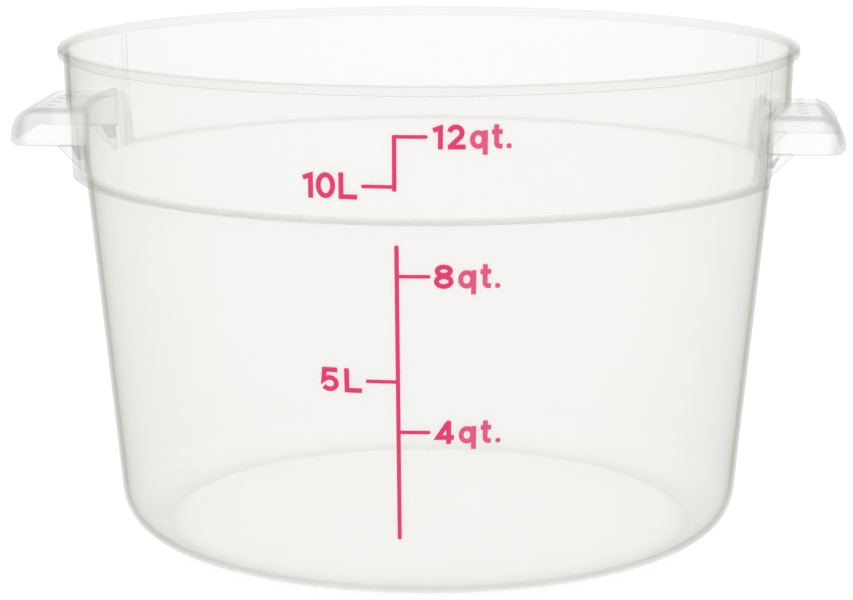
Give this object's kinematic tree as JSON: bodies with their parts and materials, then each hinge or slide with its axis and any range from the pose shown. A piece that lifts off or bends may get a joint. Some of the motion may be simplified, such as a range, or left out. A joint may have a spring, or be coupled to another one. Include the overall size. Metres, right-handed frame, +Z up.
{
  "type": "food storage container",
  "caption": "Round translucent plastic food storage tub with a stepped collar, two moulded side handles and a printed volume scale.",
  "frame": {"origin": "middle of the flat base, on the surface the tub stands on", "axes": "+Z up along the tub's axis, +X through the middle of one handle, the printed scale on the -Y side"},
  "size_m": [0.3522, 0.3144, 0.2086],
  "materials": {
    "tub_plastic": "translucent natural polypropylene, satin",
    "scale_ink": "printed ink, satin"
  },
  "bodies": {
    "root": {"tub": "tub_plastic", "scale_line_upper": "scale_ink", "scale_line_lower": "scale_ink", "label_12qt_1_1": "scale_ink", "label_12qt_2_2": "scale_ink", "label_12qt_3_q": "scale_ink", "label_12qt_4_t": "scale_ink", "label_12qt_5_stop": "scale_ink", "label_10L_1_1": "scale_ink", "label_10L_2_0": "scale_ink", "label_10L_3_L": "scale_ink", "label_8qt_1_8": "scale_ink", "label_8qt_2_q": "scale_ink", "label_8qt_3_t": "scale_ink", "label_8qt_4_stop": "scale_ink", "label_5L_1_5": "scale_ink", "label_5L_2_L": "scale_ink", "label_4qt_1_4": "scale_ink", "label_4qt_2_q": "scale_ink", "label_4qt_3_t": "scale_ink", "label_4qt_4_stop": "scale_ink"}
  },
  "joints": []
}
